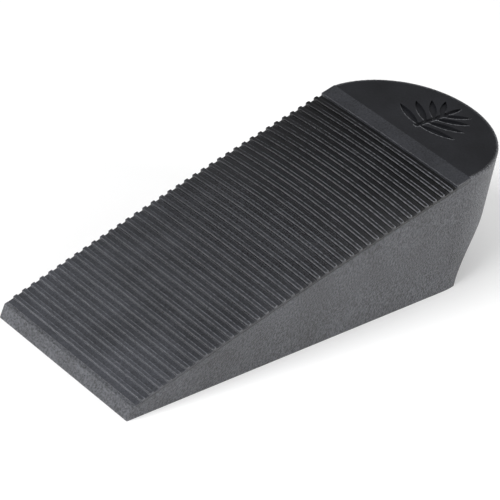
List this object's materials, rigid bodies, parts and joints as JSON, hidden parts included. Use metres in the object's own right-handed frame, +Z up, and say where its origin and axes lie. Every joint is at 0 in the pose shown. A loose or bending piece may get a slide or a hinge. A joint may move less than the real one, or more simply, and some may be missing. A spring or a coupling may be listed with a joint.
{
  "type": "door stop wedge",
  "caption": "Rubber floor wedge that holds a door open, with a ribbed ramp, a round heel and a coved underside.",
  "frame": {"origin": "middle of the length and width, on the floor plane under the base", "axes": "+X from the thin tip towards the round heel, +Y across the wedge, +Z up"},
  "size_m": [0.12, 0.046, 0.0322],
  "materials": {
    "grained_rubber": "fine leather grain, satin",
    "tread_rubber": "fine moulded texture, satin",
    "smooth_rubber": "smooth, low sheen",
    "sole_rubber": "matt, fine texture"
  },
  "bodies": {
    "root": {"wedge_body": "grained_rubber", "ribbed_tread": "tread_rubber", "heel_plate": "smooth_rubber", "grip_sole": "sole_rubber"}
  },
  "joints": []
}
